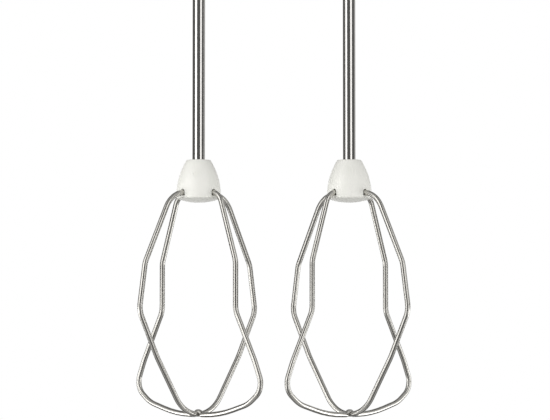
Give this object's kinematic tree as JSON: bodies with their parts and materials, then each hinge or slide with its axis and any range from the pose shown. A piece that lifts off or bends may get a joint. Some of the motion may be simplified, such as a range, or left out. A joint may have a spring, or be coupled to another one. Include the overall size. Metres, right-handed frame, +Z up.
{
  "type": "hand mixer beater pair",
  "caption": "Pair of wire beaters for a hand mixer: polished steel shanks, white plastic hubs and crossed bent-wire whisks, standing side by side with the drive ends up.",
  "frame": {"origin": "midway between the two shafts' axes, at the height of the whisks' lowest points", "axes": "+Z up along the shafts towards the drive ends; +X from the left beater to the right one; -Y towards a viewer in front"},
  "size_m": [0.1054, 0.0488, 0.186],
  "materials": {
    "shaft_steel": "mirror polished round steel rod",
    "wire_steel": "polished drawn steel wire",
    "disc_steel": "plain stamped steel, hidden inside the hub",
    "hub_plastic": "satin white moulded plastic"
  },
  "bodies": {
    "left_beater": {"left_shaft": "shaft_steel", "left_hub_shell": "hub_plastic", "left_hub_base": "hub_plastic", "left_anchor_disc": "disc_steel", "left_narrow_loop": "wire_steel", "left_wide_loop": "wire_steel"},
    "right_beater": {"right_shaft": "shaft_steel", "right_hub_shell": "hub_plastic", "right_hub_base": "hub_plastic", "right_anchor_disc": "disc_steel", "right_narrow_loop": "wire_steel", "right_wide_loop": "wire_steel"}
  },
  "joints": [
    {"name": "beaters_apart", "type": "slide", "parent": "left_beater", "child": "right_beater", "axis": [1, 0, 0], "range_m": [-0.007, 0.06]}
  ]
}
